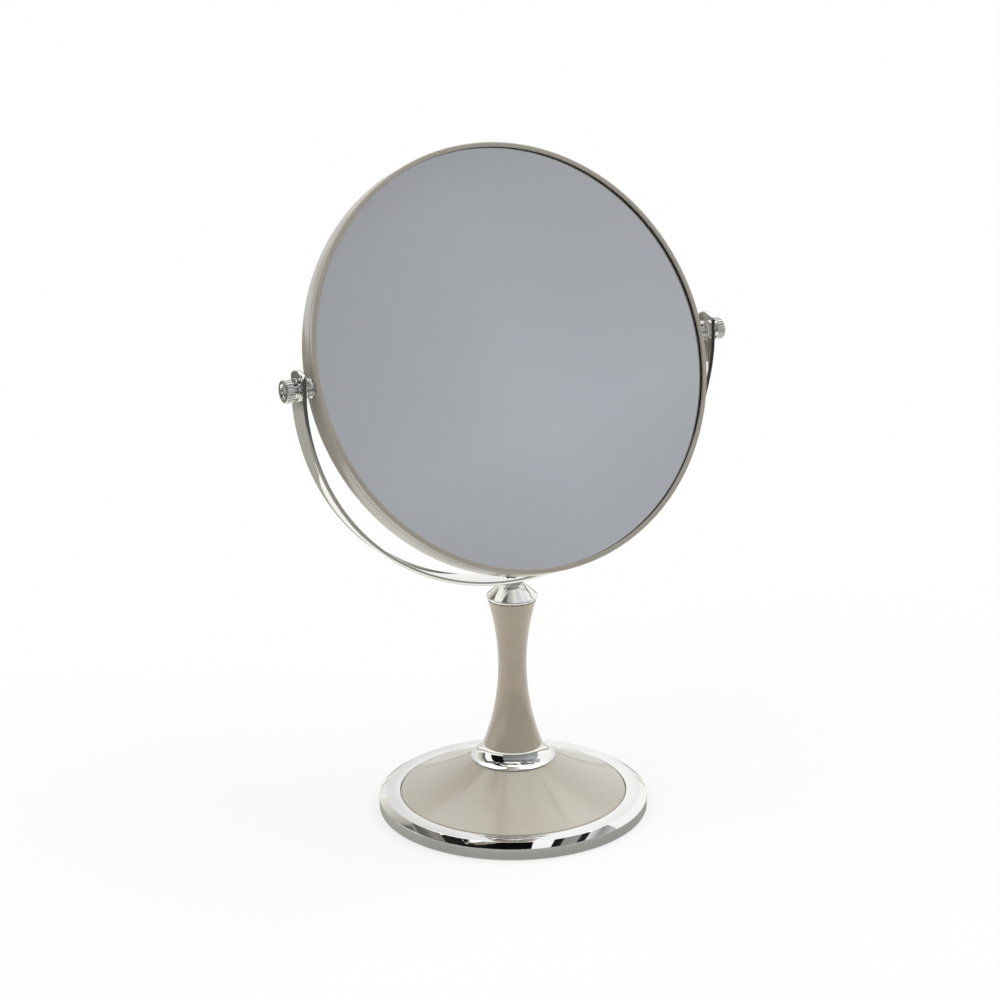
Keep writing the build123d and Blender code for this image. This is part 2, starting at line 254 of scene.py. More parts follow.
def arc_through(start, middle, end, steps):
    """Points from start to end along the circle through all three."""
    start, middle, end = Vector(start), Vector(middle), Vector(end)
    a, b = middle - start, end - start
    cross = 2 * a.cross(b)
    centre = start + Vector((b.y * a.length_squared - a.y * b.length_squared,
                             a.x * b.length_squared - b.x * a.length_squared)) / cross
    sweep = (start - centre).angle_signed(end - centre)
    turns = [Matrix.Rotation(-sweep * step / steps, 2) for step in range(steps + 1)]
    return [centre + turn @ (start - centre) for turn in turns]


def hollow_arc(start, end, dip, steps):
    """An arc from start to end that passes dip to the left of the middle of its chord."""
    chord = Vector(end) - Vector(start)
    middle = (Vector(start) + Vector(end)) / 2 + Vector((-chord.y, chord.x)).normalized() * dip
    return arc_through(start, middle, end, steps)


def turned(name, outline, place=Matrix(), steps=turn_steps, shrink=None):
    """Turns a closed (radius, height) outline about local Z. shrink(angle, radius) is the
    depth to take off a point's radius, for knurls."""
    builder = bmesh.new()
    rings = []
    for i in range(steps):
        angle = 2 * math.pi * i / steps
        ring = []
        for radius, height in outline:
            if shrink:
                radius -= shrink(angle, radius)
            point = Vector((radius * math.cos(angle), radius * math.sin(angle), height))
            ring.append(builder.verts.new(place @ point))
        rings.append(ring)
    count = len(outline)
    for i in range(steps):
        here, there = rings[i], rings[(i + 1) % steps]
        for j in range(count):
            k = (j + 1) % count
            if outline[j][0] < on_axis and outline[k][0] < on_axis:
                continue
            builder.faces.new((here[j], there[j], there[k], here[k]))
    bmesh.ops.dissolve_degenerate(builder, edges=builder.edges, dist=sliver_length)
    return finished_object(name, builder)


raised_to_axis = Matrix.Translation((0, 0, axis_height))
head_place = raised_to_axis @ Matrix.Rotation(math.pi / 2 - rest_tilt, 4, "X")


def side_place(side):
    """Local Z points outwards along the tilting axis: side is +1 right, -1 left."""
    return raised_to_axis @ Matrix.Rotation(side * math.pi / 2, 4, "Y")


# Material helpers ----------------------------------------------------------------

mix_first = 6                   # the colour sockets of a Mix node
mix_second = 7
mix_result = 2


def new_material(name):
    """A material and its node tree."""
    material = bpy.data.materials.new(name)
    material.use_nodes = True
    return material, material.node_tree


def arithmetic(tree, operation, first, second):
    """A Math node on a socket and either another socket or a number."""
    node = tree.nodes.new("ShaderNodeMath")
    node.operation = operation
    tree.links.new(first, node.inputs[0])
    if isinstance(second, (int, float)):
        node.inputs[1].default_value = second
    else:
        tree.links.new(second, node.inputs[1])
    return node.outputs[0]


def colour_ramp(tree, factor, stops):
    """A ramp over factor. stops are (position, (red, green, blue)), linear."""
    node = tree.nodes.new("ShaderNodeValToRGB")
    while len(node.color_ramp.elements) < len(stops):
        node.color_ramp.elements.new(0.5)
    for element, (position, colour) in zip(node.color_ramp.elements, stops):
        element.position = position
        element.color = (*colour, 1)
    tree.links.new(factor, node.inputs["Fac"])
    return node.outputs["Color"]


class Finish:
    """A procedural material: one Principled shader and short names for its nodes."""

    def __init__(self, name, **fixed):
        self.material, self.tree = new_material(name)
        self.nodes = self.tree.nodes
        self.links = self.tree.links
        self.shader = self.nodes["Principled BSDF"]
        for socket, value in fixed.items():
            self.shader.inputs[socket.replace("_", " ")].default_value = value
        self.place = self.nodes.new("ShaderNodeTexCoord").outputs["Object"]

    def noise(self, size, detail, stretch=(1, 1, 1)):
        """Noise whose lumps are about size metres across, longer along a stretched axis."""
        mapping = self.nodes.new("ShaderNodeMapping")
        mapping.inputs["Scale"].default_value = [1 / factor for factor in stretch]
        texture = self.nodes.new("ShaderNodeTexNoise")
        texture.inputs["Scale"].default_value = 1 / size
        texture.inputs["Detail"].default_value = detail
        self.links.new(self.place, mapping.inputs["Vector"])
        self.links.new(mapping.outputs["Vector"], texture.inputs["Vector"])
        return texture.outputs["Fac"]

    def spread(self, factor, low, high, start=0.22, end=0.78):
        """factor from start to end becomes low to high, softly at both ends."""
        node = self.nodes.new("ShaderNodeMapRange")
        node.interpolation_type = "SMOOTHSTEP"
        limits = {"From Min": start, "From Max": end, "To Min": low, "To Max": high}
        for socket, value in limits.items():
            node.inputs[socket].default_value = value
        self.links.new(factor, node.inputs["Value"])
        return node.outputs["Result"]

    def total(self, first, second):
        """The sum of two factors."""
        return arithmetic(self.tree, "ADD", first, second)

    def colours(self, factor, *stops):
        """Base colour along a ramp."""
        colour = colour_ramp(self.tree, factor, stops)
        self.links.new(colour, self.shader.inputs["Base Color"])
        return colour

    def painted_crevice_shade(self, colour, width, open_share):
        """Paints shade into the base colour in seams, grooves and tight corners up to width across.
        Where more than open_share of the surroundings is open, the colour stays."""
        painted_shade_mask = self.nodes.new("ShaderNodeAmbientOcclusion")
        painted_shade_mask.samples = 6
        painted_shade_mask.inputs["Distance"].default_value = width
        mix = self.nodes.new("ShaderNodeMix")
        mix.data_type = "RGBA"
        mix.blend_type = "MULTIPLY"
        # painted shade: the near-black colour that sheltered spots are darkened towards
        mix.inputs[mix_second].default_value = (0.03, 0.03, 0.03, 1)
        depth = self.spread(painted_shade_mask.outputs["AO"], 0.85, 0.0, 0.15, open_share)
        self.links.new(depth, mix.inputs["Factor"])
        self.links.new(colour, mix.inputs[mix_first])
        self.links.new(mix.outputs[mix_result], self.shader.inputs["Base Color"])

    def roughness(self, factor, low, high):
        """Roughness from low to high as factor varies."""
        self.links.new(self.spread(factor, low, high), self.shader.inputs["Roughness"])

    def relief(self, height, depth):
        """Bumps the surface by depth metres."""
        bump = self.nodes.new("ShaderNodeBump")
        bump.inputs["Distance"].default_value = depth
        self.links.new(height, bump.inputs["Height"])
        self.links.new(bump.outputs["Normal"], self.shader.inputs["Normal"])

    def head_radius(self):
        """Distance from the axis of the round head at rest, in metres."""
        local = self.nodes.new("ShaderNodeMapping")
        local.vector_type = "TEXTURE"
        local.inputs["Location"].default_value = (0, 0, axis_height)
        local.inputs["Rotation"].default_value = (math.pi / 2 - rest_tilt, 0, 0)
        flat = self.nodes.new("ShaderNodeVectorMath")
        flat.operation = "MULTIPLY"
        flat.inputs[1].default_value = (1, 1, 0)
        length = self.nodes.new("ShaderNodeVectorMath")
        length.operation = "LENGTH"
        self.links.new(self.place, local.inputs["Vector"])
        self.links.new(local.outputs["Vector"], flat.inputs[0])
        self.links.new(flat.outputs["Vector"], length.inputs[0])
        return length.outputs["Value"]


def chrome(name, light, dark):
    """Bright plating: a faint haze, wiping marks, the slightest ripple and painted shade in its seams."""
    finish = Finish(name, Metallic=1.0)
    haze = finish.noise(18 * mm, 4.0)
    wiped = finish.noise(1.2 * mm, 2.0, stretch=(9, 9, 1))
    plating = finish.colours(haze, (0.25, dark), (0.6, light))
    # painted shade: darkens the plating in seams, grooves and tight corners
    finish.painted_crevice_shade(plating, 0.7 * mm, open_share=0.62)
    marks = finish.total(finish.spread(haze, 0.15, 0.55), finish.spread(wiped, 0.0, 0.3))
    finish.roughness(marks, 0.012, 0.042)
    finish.relief(finish.noise(7 * mm, 1.0), 0.004 * mm)
    return finish.material


def enamel(name, light, dark):
    """Glossy cream lacquer over metal, with soft cloudiness, a little orange peel and painted shade in its seams.
    """
    finish = Finish(name, Coat_Weight=1.0, Coat_Roughness=0.11, IOR=1.5)
    cloud = finish.noise(26 * mm, 3.0, stretch=(1, 1, 2))
    speck = finish.noise(0.7 * mm, 2.0)
    mottle = finish.total(finish.spread(cloud, 0.1, 0.7), finish.spread(speck, 0.0, 0.25))
    lacquer = finish.colours(mottle, (0.15, dark), (0.8, light))
    # painted shade: darkens the lacquer in seams, grooves and tight corners
    finish.painted_crevice_shade(lacquer, 0.8 * mm, open_share=0.5)
    finish.roughness(cloud, 0.26, 0.36)
    finish.relief(finish.noise(2.6 * mm, 1.0), 0.002 * mm)
    return finish.material


def silvered_glass(name, light, dark, edge):
    """Front of a silvered mirror: even, with the faintest haze, and a dark band of painted shade where the glass
    meets the frame's lip.
    """
    finish = Finish(name, Metallic=1.0)
    haze = finish.noise(60 * mm, 3.0)
    # painted shade: a dark band just inside the frame's lip
    lip_shade_band = finish.spread(finish.head_radius(), 0.0, 1.0, window_radius - lip_shade_width, window_radius)
    share = finish.total(finish.spread(haze, 0.0, 0.4), lip_shade_band)
    finish.colours(share, (0.0, dark), (0.4, light), (0.95, edge))
    finish.roughness(finish.noise(25 * mm, 4.0, stretch=(4, 1, 1)), 0.008, 0.02)
    return finish.material


def grainy(name, light, dark, grain, rough, depth, metallic=0.0, stretch=(1, 1, 1)):
    """A plain technical finish: cast, moulded, rubber, foam or brushed."""
    finish = Finish(name, Metallic=metallic)
    fine = finish.noise(grain, 4.0, stretch=stretch)
    broad = finish.noise(grain * 12, 2.0)
    mottle = finish.total(finish.spread(fine, 0.0, 0.5), finish.spread(broad, 0.0, 0.5))
    finish.colours(mottle, (0.2, dark), (0.8, light))
    finish.roughness(fine, rough - 0.06, rough + 0.06)
    finish.relief(fine, depth)
    return finish.material


finishes = {
    "chrome_plate": chrome(
        "bright_chrome", light=(0.925, 0.925, 0.905), dark=(0.86025, 0.86025, 0.84165)),
    "cream_enamel": enamel(
        "cream_lacquer", light=(0.37, 0.342, 0.285), dark=(0.34, 0.312, 0.257)),
    # the edge colour is painted shade at the frame's lip
    "mirror_glass": silvered_glass(
        "silvered_glass", light=(0.88, 0.90, 0.91), dark=(0.86, 0.88, 0.895), edge=(0.05, 0.05, 0.05)),
    "cast_ballast": grainy(
        "cast_iron", light=(0.05, 0.05, 0.053), dark=(0.025, 0.025, 0.027),
        grain=0.9 * mm, rough=0.75, depth=0.25 * mm),
    "black_sheet": grainy(
        "black_sheet", light=(0.014, 0.014, 0.015), dark=(0.007, 0.007, 0.008),
        grain=0.5 * mm, rough=0.42, depth=0.03 * mm),
    "soft_pad": grainy(
        "soft_rubber", light=(0.02, 0.02, 0.02), dark=(0.012, 0.012, 0.012),
        grain=0.3 * mm, rough=0.85, depth=0.08 * mm),
    "zinc_fastener": grainy(
        "zinc_plate", light=(0.55, 0.56, 0.57), dark=(0.42, 0.43, 0.45),
        grain=0.6 * mm, rough=0.32, depth=0.01 * mm, metallic=1.0),
    "white_plastic": grainy(
        "white_moulding", light=(0.66, 0.65, 0.60), dark=(0.60, 0.58, 0.54),
        grain=0.4 * mm, rough=0.5, depth=0.02 * mm),
    "foam": grainy(
        "grey_foam", light=(0.09, 0.09, 0.095), dark=(0.05, 0.05, 0.053),
        grain=0.35 * mm, rough=0.95, depth=0.2 * mm),
    "brass_insert": grainy(
        "turned_brass", light=(0.70, 0.50, 0.19), dark=(0.58, 0.40, 0.14),
        grain=0.5 * mm, rough=0.28, depth=0.01 * mm, metallic=1.0, stretch=(1, 8, 8)),
    "nylon": grainy(
        "natural_nylon", light=(0.72, 0.70, 0.63), dark=(0.66, 0.64, 0.56),
        grain=0.3 * mm, rough=0.45, depth=0.01 * mm),
}

# Painted light: the column's coat is made warmer to stand in for the warm reflections it shows, and the cover's
# coat paler to stand in for the light and sheen on its upward faces.
painted_light_finishes = {
    "column": enamel("column_lacquer_painted_reflection", light=(0.46, 0.395, 0.305), dark=(0.43, 0.362, 0.275)),
    "base_cover": enamel("cover_lacquer_painted_light", light=(0.525, 0.485, 0.40), dark=(0.495, 0.452, 0.37)),
}

slot_of = {part["node"]: part["material_slot"] for part in frame["record"]["subparts"]}
bodies = frame["record"]["behaviour"]["bodies"]
body_of = {node: body for body, members in bodies.items() for node in members}


def dress(piece, node):
    """The piece stands for the node: same body, slot and finish."""
    piece.data.materials.append(painted_light_finishes.get(node, finishes[slot_of[node]]))
    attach(piece, body_of[node])
    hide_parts(node)


# Pedestal ------------------------------------------------------------------------

def base_rim():
    recess = cover_radius + recess_gap
    ledge_height = foot("base_cover")
    ledge = recess - ledge_width
    inner = base_radius - base_wall
    crest = base_radius - base_slope_width
    low = foot("base_ring")
    shoulder = band_height - base_slope_height
    outline = rounded([
        (base_radius, low, ring_foot_fillet),
        (base_radius, shoulder, ring_shoulder_fillet),
        (crest, band_height - band_fall, ring_crest_fillet),
        (recess, band_height, ring_recess_fillet),
        (recess, ledge_height),
        (ledge, ledge_height),
        (ledge, ledge_height - base_wall),
        (recess + base_wall, ledge_height - base_wall),
        (recess + base_wall, band_height - base_wall),
        (crest - base_wall / 3, band_height - band_fall - base_wall),
        (inner, shoulder - base_wall / 2),
        (inner, low),
    ])
    dress(turned("base_rim", outline, steps=large_turn_steps), "base_ring")


def cover_flank(foot_radius, foot_height, top_radius, top_height):
    return hollow_arc((foot_radius, foot_height), (top_radius, top_height), cover_hollow, cover_steps)


def base_cone():
    low = foot("base_cover")
    high = top("base_cover")
    outside = cover_flank(cover_radius - cover_edge, band_height + cover_edge / 2, cover_top_radius, high)
    inside = cover_flank(cover_radius - cover_wall, low, cover_top_radius - cover_wall, high - cover_wall)
    outline = outside + [(rod_hole_radius, high), (rod_hole_radius, high - cover_wall)]
    outline += reversed(inside)
    outline += [
        (cover_radius - cover_edge, low),
        (cover_radius, low + cover_edge),
        (cover_radius, band_height - cover_edge),
    ]
    dress(turned("base_cone", outline, steps=large_turn_steps), "base_cover")


def foot_collar():
    low = foot("lower_collar")
    high = top("lower_collar")
    cover_top = top("base_cover")
    cover_fall = (cover_top - band_height) / (cover_radius - cover_top_radius)
    foot_height = cover_top - (collar_radius - cover_top_radius) * cover_fall
    flank = hollow_arc((collar_radius, foot_height + collar_edge), (collar_top_radius, high),
                       collar_hollow, collar_steps)
    outline = [
        (collar_radius - small_edge, low + small_edge / 2),
        (collar_radius, low + 2 * small_edge),
        *flank[:-1],
        (collar_top_radius, high),
        (collar_top_radius - collar_top_land, high),
        (column_bore_radius, high),
        (column_bore_radius, cover_top),
        (cover_top_radius, cover_top),
    ]
    dress(turned("foot_collar", outline), "lower_collar")


def pedestal_column():
    low = foot("column")
    high = top("column")
    flank = arc_through((column_bottom_radius, low), (column_waist_radius, low + column_waist_rise),
                        (column_top_radius, high), column_steps)
    outline = flank + [(column_bore_radius, high), (column_bore_radius, low)]
    dress(turned("pedestal_column", outline), "column")


def neck_cone():
    low = foot("neck_ferrule")
    high = top("neck_ferrule")
    seat = top("column")
    shoulder = high - neck_shoulder_drop
    spigot = column_top_radius / 2
    outline = rounded([
        (rod_hole_radius, low),
        (spigot, low),
        (spigot, seat),
        (column_top_radius - neck_seam, seat),
        (column_top_radius - neck_seam, seat + neck_seam / 2),
        (column_top_radius, seat + neck_seam / 2, neck_foot_fillet),
        (neck_radius, seat + neck_band / 2, neck_band_fillet),
        (neck_radius, seat + neck_band, neck_cone_fillet),
        (neck_shoulder_radius, shoulder, neck_shoulder_fillet),
        (neck_top_radius, shoulder + neck_shoulder_drop / 3, neck_waist_fillet),
        (neck_top_radius, high, neck_top_fillet),
        (rod_hole_radius, high),
    ])
    dress(turned("neck_cone", outline), "neck_ferrule")


# Yoke ----------------------------------------------------------------------------

def strap_stations():
    """(middle point, outward direction, half width) from the left tip to the right, with
    points measured from the tilting axis."""
    side_x = ear_inner + strap_thickness / 2
    middle_radius = yoke_inner_radius + strap_thickness / 2
    half_width = strap_width / 2
    corner = math.acos(half_width / ear_radius)     # where the round ear meets the straight edges
    ear_foot = ear_radius * math.sin(corner)
    half = []
    for step in range(ear_steps + 1):
        lift = math.pi / 2 - (math.pi / 2 - corner) * step / ear_steps
        half.append((ear_radius * math.sin(lift), ear_radius * math.cos(lift)))
    for step in range(1, ear_flat_steps + 1):
        share = step / ear_flat_steps
        half.append((ear_foot * (1 - share) - ear_flat * share, half_width))

    stations = [(Vector((-side_x, 0, height)), Vector((-1, 0, 0)), width) for height, width in half]
    start = math.atan2(-ear_flat, -side_x)
    sweep = 2 * math.asin(side_x / math.hypot(side_x, ear_flat))
    for step in range(1, strap_steps):
        angle = start + sweep * step / strap_steps
        outward = Vector((math.cos(angle), 0, math.sin(angle)))
        stations.append((outward * middle_radius, outward, half_width))
    half.reverse()
    stations += [(Vector((side_x, 0, height)), Vector((1, 0, 0)), width) for height, width in half]
    return stations


def strap_rims(stations):
    """For each station, the direction out of the strap's edge, as (along, across)."""
    along = [0.0]
    for (here, _, _), (before, _, _) in zip(stations[1:], stations):
        along.append(along[-1] + (here - before).length)
    rims = [Vector((-1, 0))]
    for i in range(1, len(stations) - 1):
        rise = stations[i + 1][2] - stations[i - 1][2]
        rims.append(Vector((-rise, along[i + 1] - along[i - 1])).normalized())
    rims.append(Vector((1, 0)))
    return rims


def strap_layers():
    """(inset, height) of the outline's layers, from the inner face round to the outer one."""
    straight = strap_thickness / 2 - strap_edge
    turns = [math.pi / 2 * step / strap_edge_steps for step in range(strap_edge_steps + 1)]
    upper = [(strap_edge * (1 - math.cos(turn)), straight + strap_edge * math.sin(turn)) for turn in turns]
    lower = [(inset, -height) for inset, height in reversed(upper)]
    return lower + upper


def yoke_strap():
    """Strap with rounded long edges and rounded ears: layers of one outline, each drawn in
    by the edge's rounding."""
    stations = strap_stations()
    rims = strap_rims(stations)
    count = len(stations)

    def placed(i, inset, height, side):
        middle, outward, half_width = stations[i]
        shift = rims[i] * -inset
        along = Vector((-outward.z, 0, outward.x))
        across = Vector((0, side * max(half_width + shift.y, 0), 0))
        return Vector((0, 0, axis_height)) + middle + outward * height + along * shift.x + across

    builder = bmesh.new()
    sheets = []
    for inset, height in strap_layers():
        sheet = []
        for i in range(count):
            sheet.append([builder.verts.new(placed(i, inset, height, side)) for side in (-1, 1)])
        sheets.append(sheet)
    for low, high in zip(sheets, sheets[1:]):
        for i in range(count - 1):
            for side in (0, 1):
                builder.faces.new((low[i][side], low[i + 1][side], high[i + 1][side], high[i][side]))
    for sheet in (sheets[0], sheets[-1]):
        for i in range(count - 1):
            builder.faces.new((sheet[i][0], sheet[i + 1][0], sheet[i + 1][1], sheet[i][1]))
    bmesh.ops.dissolve_degenerate(builder, edges=builder.edges, dist=weld_distance)
    dress(finished_object("yoke_strap", builder), "yoke")


# Mirror head ---------------------------------------------------------------------

def head_frame(name, face, node):
    """One of the two half frames, from the seam to its face."""
    way = 1 if face > seam_height else -1
    bore = head_radius - bezel_wall
    lip_back = face - way * lip_thickness
    outline = rounded([
        (bore, seam_height),
        (head_radius - seam_chamfer, seam_height, bezel_seam_fillet),
        (head_radius, seam_height + way * seam_chamfer, bezel_groove_fillet),
        (head_radius, face, bezel_fillet),
        (window_radius, face, lip_fillet),
        (window_radius, lip_back, lip_back_fillet),
        (bore, lip_back),
    ])
    dress(turned(name, outline, head_place, steps=frame_turn_steps), node)


def plain_mirror():
    high = front_face - lip_thickness
    low = high - plain_glass_thickness
    silver = high - silver_depth
    outline = [
        (0, low),
        (glass_radius - glass_arris, low),
        (glass_radius, low + glass_arris),
        (glass_radius, high - glass_arris),
        (glass_radius - glass_arris, high),
        (window_radius + small_edge, high),
        (window_radius + small_edge, silver),
        (0, silver),
    ]
    dress(turned("plain_mirror", outline, head_place, steps=large_turn_steps), "front_glass")


def magnifying_mirror():
    """A dish of even thickness whose hollow side faces back."""
    rim = rear_face + lip_thickness
    ball = (glass_radius**2 + magnifying_rise**2) / (2 * magnifying_rise)
    rim_drop = math.sqrt(ball**2 - glass_radius**2)

    def surface(radius, lift):
        return radius, rim + lift + math.sqrt(ball**2 - radius**2) - rim_drop

    radii = [glass_radius * step / glass_steps for step in range(glass_steps + 1)]
    outline = [surface(radius, magnifying_thickness) for radius in radii]
    outline += [surface(radius, 0) for radius in reversed(radii)]
    dress(turned("magnifying_mirror", outline, head_place, steps=large_turn_steps), "rear_glass")


# Pivot hardware ------------------------------------------------------------------

def knob(name, side):
    node = name + "_thumb_screw"
    outer = half_height(node)
    tip, end = axis_span(node)
    start = end - knob_length
    neck_start = start - knob_neck_length
    dish = outer - knob_rim_width
    dish_floor = end - knob_dish_depth
    outline = rounded([
        (0, tip),
        (screw_radius, tip, screw_tip_fillet),
        (screw_radius, neck_start),
        (knob_neck_radius, neck_start, small_edge),
        (knob_neck_radius, start),
        (outer - knob_edge, start),
        (outer, start + knob_edge, knob_rim_fillet),
        (outer, end - knob_edge, knob_rim_fillet),
        (outer - knob_edge, end, knob_rim_fillet),
        (dish, end, knob_dish_fillet),
        (dish - knob_edge, dish_floor, knob_floor_fillet),
        (knob_pip_radius, dish_floor, knob_pip_fillet),
        (0, dish_floor - knob_pip_radius),
    ], small_fillet_steps)
    knurled_from = outer - knob_edge / 3

    def knurl(angle, radius):
        """Round-bottomed grooves with soft crests, in the rim alone."""
        if radius <= knurled_from:
            return 0
        wave = 0.5 + 0.5 * math.cos(knob_groove_count * angle)
        return knob_groove_depth * wave**knob_groove_power

    piece = turned(name + "_knurled_knob", outline, side_place(side), large_turn_steps, shrink=knurl)
    dress(piece, node)


def spacer_bush(name, side):
    node = name + "_spacer_bush"
    outer = half_height(node)
    inner = screw_radius + hole_clearance
    waist = outer - bush_waist
    low, high = axis_span(node)
    outline = rounded([
        (inner, low),
        (outer, low, small_edge),
        (outer, low + bush_waist, bush_fillet),
        (waist, low + 2 * bush_waist, bush_fillet),
        (waist, high - 2 * bush_waist, bush_fillet),
        (outer, high - bush_waist, bush_fillet),
        (outer, high, small_edge),
        (inner, high),
    ], small_fillet_steps)
    dress(turned(name + "_waisted_bush", outline, side_place(side), bush_turn_steps), node)


def small_ring(name, side, node, edge):
    outer = half_height(node)
    inner = screw_radius + hole_clearance
    low, high = axis_span(node)
    outline = rounded([
        (inner, low, edge / 2),
        (outer, low, edge),
        (outer, high, edge),
        (inner, high, edge / 2),
    ], washer_fillet_steps)
    dress(turned(name, outline, side_place(side), washer_turn_steps), node)


base_rim()
base_cone()
foot_collar()
pedestal_column()
neck_cone()
yoke_strap()
head_frame("front_frame", front_face, "front_bezel")
head_frame("rear_frame", rear_face, "rear_bezel")
plain_mirror()
magnifying_mirror()
for side_name, side_sign in (("left", -1), ("right", 1)):
    knob(side_name, side_sign)
    spacer_bush(side_name, side_sign)
    small_ring(side_name + "_cup_washer", side_sign, side_name + "_outer_washer", small_edge)
    small_ring(side_name + "_nylon_disc", side_sign, side_name + "_friction_washer", small_edge / 2)

for node_name, node_object in frame["nodes"].items():
    node_object.data.materials.clear()
    node_object.data.materials.append(finishes[slot_of[node_name]])


# Studio --------------------------------------------------------------------------

camera_way = math.radians(-28.36)       # the camera stands this far to the left of the front
ambient = 0.45                          # light of the room on the object
shadow_share = 0.35                     # how much of the object's shadow the white table shows
floor_size = 60.0
wall_distance = 2.2
ceiling_height = 1.5
card_lift = 0.2 * mm                    # of the table cards over the table top
wall_degrees_per_step = 4
table_card_steps = (48, 6)
white = (1, 1, 1, 1)

# name, degrees right of the front, degrees up, strength, softness in degrees
suns = (
    ("right_light", 78, 60, 1.10, 60),
    ("left_light", -100, 62, 0.85, 60),
)

# Cards: name, the four sides, levels along the first side, levels along the second, tint.
even = ((0.0, 1.0), (1.0, 1.0))
neutral = (1.0, 1.0, 1.0)
warm = (1.02, 1.0, 0.90)

# Sides: from and to in degrees right of the camera, then low and high
wall_cards = (
    ("grey_wall", (-36, 98, 0.0, 2.9),
     ((0.0, 0.26), (0.45, 0.34), (0.63, 0.38), (0.71, 0.485), (0.76, 0.46), (1.0, 0.46)),
     ((0.0, 0.72), (0.28, 0.78), (0.41, 1.0), (0.54, 0.88), (0.66, 0.50)), (0.97, 0.98, 1.04)),
    ("black_flag", (-84, -36, 0.35, 3.3), ((0.0, 0.004), (1.0, 0.004)), even, neutral),
    ("left_wall", (-150, -112, 0.3, 2.9),
     ((0.0, 0.80), (0.45, 0.5), (0.6, 0.40), (0.72, 0.12), (1.0, 0.20)), even, warm),
    ("back_wall", (150, 212, 0.0, 2.6),
     ((0.0, 1.0), (0.3, 0.86), (0.47, 0.98), (0.55, 0.78), (0.75, 0.76), (1.0, 0.90)), even, neutral),
)

# Sides: left and right, then far and near, measured from the object as the camera sees it
ceiling_cards = (
    ("ceiling_black", (-0.86, 0.22, -0.33, 0.66),
     ((0.0, 0.02), (0.6, 0.004), (1.0, 0.004)), even, neutral),
    ("ceiling_slats", (0.46, 0.92, -0.42, 0.80),
     ((0.0, 0.01), (0.24, 0.012), (0.28, 0.26), (0.70, 0.30), (0.76, 0.015), (1.0, 0.015)), even, neutral),
    ("ceiling_left", (-1.36, -0.86, -0.98, 0.10),
     ((0.0, 0.35), (0.2, 0.11), (0.5, 0.15), (0.75, 0.26), (0.9, 0.2)), even, warm),
    ("ceiling_right", (0.92, 1.9, -0.8, 0.05),
     ((0.0, 0.75), (0.2, 0.30), (0.45, 0.55), (0.6, 0.35), (1.0, 0.6)), even, neutral),
    ("ceiling_back", (-0.9, 0.9, -1.7, -0.46),
     ((0.0, 1.5), (0.35, 1.9), (0.45, 1.5), (0.6, 2.1), (1.0, 1.7)),
     ((0.0, 0.7), (0.5, 1.0), (1.0, 0.9)), neutral),
)

# Sides: inner and outer radius. Levels run round from behind by the left, then outwards
table_cards = (
    # painted shade: the near ring's outward levels start dark next to the base, standing in for the table's
    # contact shadow as reflections see it
    ("table_near", (0.06, 0.335),
     ((0.0, 0.9), (0.25, 1.2), (0.42, 0.95), (0.62, 0.95), (0.8, 1.15), (1.0, 0.9)),
     ((0.0, 0.30), (0.06, 0.36), (0.16, 0.72), (0.3, 0.90), (0.9, 0.92)), (1.0, 1.0, 0.95)),
    ("table_far", (0.335, 0.66),
     ((0.0, 0.36), (0.25, 0.40), (0.42, 0.36), (0.52, 0.27), (0.70, 0.27), (0.85, 0.40)), even, warm),
    ("room_floor", (0.66, 2.2),
     ((0.0, 0.34), (0.25, 0.34), (0.42, 0.25), (0.52, 0.09), (0.70, 0.08), (0.85, 0.28)),
     ((0.0, 1.0), (0.1, 0.75), (0.13, 0.4), (0.4, 0.5), (1.0, 0.9)), warm),
)


def plain_sight(tree):
    """1 for rays that should see a white room: camera, reflections and glass."""
    path = tree.nodes.new("ShaderNodeLightPath")
    seen = path.outputs["Is Camera Ray"]
    for kind in ("Is Glossy Ray", "Is Transmission Ray"):
        seen = arithmetic(tree, "MAXIMUM", seen, path.outputs[kind])
    return seen


def studio_world():
    """White to look at, and the ambient level as light."""
    world = bpy.data.worlds.new("studio")
    bpy.context.scene.world = world
    world.use_nodes = True
    tree = world.node_tree
    background = tree.nodes["Background"]
    strength = tree.nodes.new("ShaderNodeMapRange")
    strength.inputs["To Min"].default_value = ambient
    strength.inputs["To Max"].default_value = 1.0
    tree.links.new(plain_sight(tree), strength.inputs["Value"])
    tree.links.new(strength.outputs["Result"], background.inputs["Strength"])
    background.inputs["Color"].default_value = white


def floor():
    """White table top that still takes the object's soft shadow."""
    material, tree = new_material("white_table")
    principled = tree.nodes["Principled BSDF"]
    principled.inputs["Base Color"].default_value = white
    principled.inputs["Roughness"].default_value = 0.9
    principled.inputs["Specular IOR Level"].default_value = 0.0
    emission = tree.nodes.new("ShaderNodeEmission")
    mix = tree.nodes.new("ShaderNodeMixShader")
    share = arithmetic(tree, "MULTIPLY", plain_sight(tree), 1 - shadow_share)
    tree.links.new(share, mix.inputs["Fac"])
    tree.links.new(principled.outputs["BSDF"], mix.inputs[1])
    tree.links.new(emission.outputs["Emission"], mix.inputs[2])
    tree.links.new(mix.outputs["Shader"], tree.nodes["Material Output"].inputs["Surface"])

    builder = bmesh.new()
    bmesh.ops.create_grid(builder, x_segments=4, y_segments=4, size=floor_size / 2)
    piece = mesh_object("table_top", builder)
    piece.data.materials.append(material)


def sun(name, way, height, strength, softness):
    """Even soft light from way degrees right of the front and height degrees up."""
    lamp = bpy.data.lights.new(name, "SUN")
    lamp.energy = strength
    lamp.angle = math.radians(softness)
    holder = linked_object(name, lamp)
    holder.visible_glossy = False
    holder.rotation_euler = (math.radians(90 - height), 0, math.radians(way))


